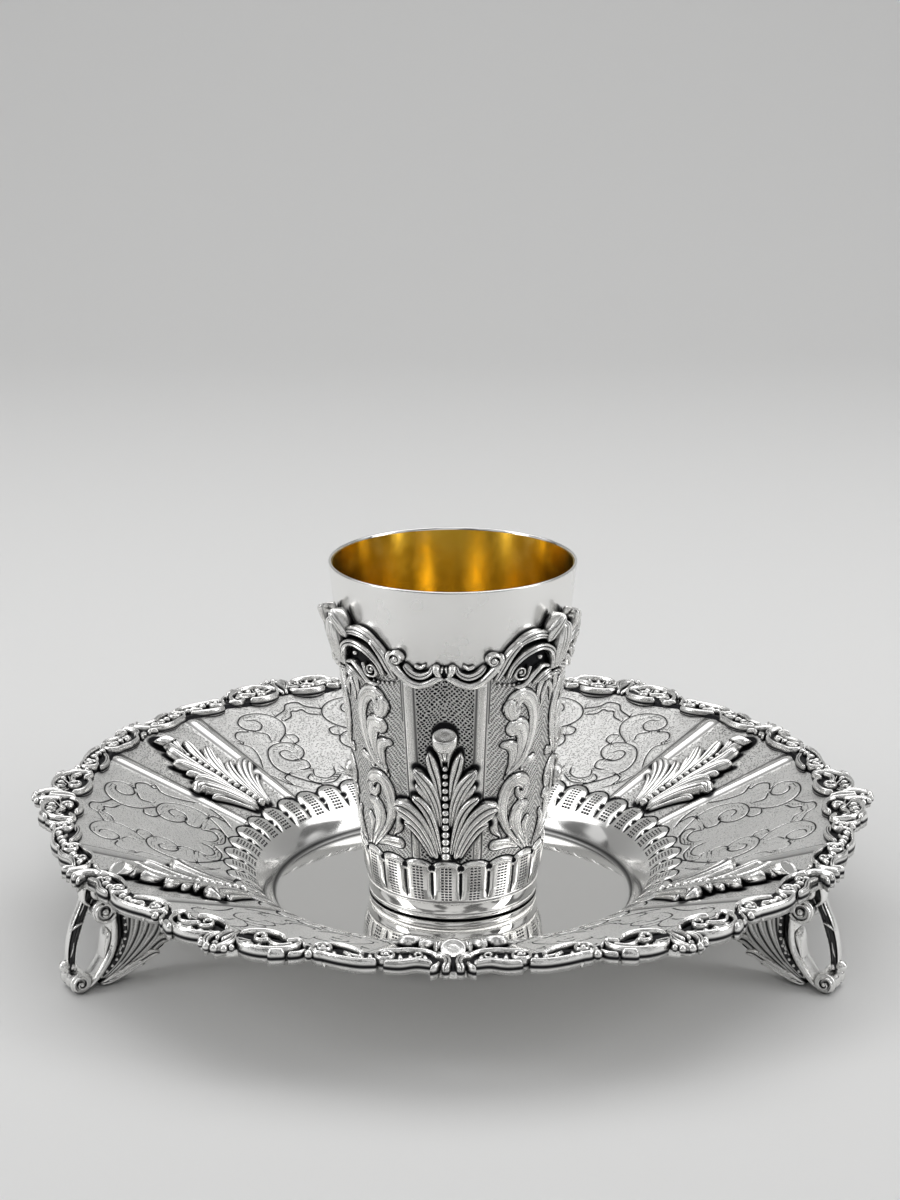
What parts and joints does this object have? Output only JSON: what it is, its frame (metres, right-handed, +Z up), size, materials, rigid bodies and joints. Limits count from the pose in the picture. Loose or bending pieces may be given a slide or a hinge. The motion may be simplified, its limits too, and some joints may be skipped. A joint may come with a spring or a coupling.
{
  "type": "kiddush cup",
  "caption": "Silver kiddush cup, gilt inside, with chased scroll panels, cast acanthus leaves and a rocaille border, on its matching footed plate",
  "frame": {"origin": "on the table, under the middle of the plate", "axes": "+Z up through the middle of cup and plate, front toward -Y where a leaf of the plate and a leaf of the cup line up, +X to the right"},
  "size_m": [0.215, 0.2111, 0.0925],
  "materials": {
    "silver_polished": "polished sterling silver, oxidised dark in the chasing, gilt inside the cup",
    "silver_chased": "chased and punched sterling silver with an oxidised ground, the well polished like a mirror",
    "silver_cast": "cast sterling silver, bright on the ridges and oxidised nearly black in the hollows",
    "gilding": "polished fire gilding on the inside of the cup"
  },
  "bodies": {
    "root": {"cup_beaker": "silver_polished", "cup_border": "silver_cast", "cup_leaf_1": "silver_cast", "cup_leaf_2": "silver_cast", "cup_leaf_3": "silver_cast", "plate_dish": "silver_chased", "plate_border": "silver_cast", "plate_leaf_1": "silver_cast", "plate_leaf_2": "silver_cast", "plate_leaf_3": "silver_cast", "plate_leaf_4": "silver_cast", "plate_leaf_5": "silver_cast", "plate_leaf_6": "silver_cast", "plate_foot_1": "silver_cast", "plate_foot_2": "silver_cast", "plate_foot_3": "silver_cast"}
  },
  "joints": []
}
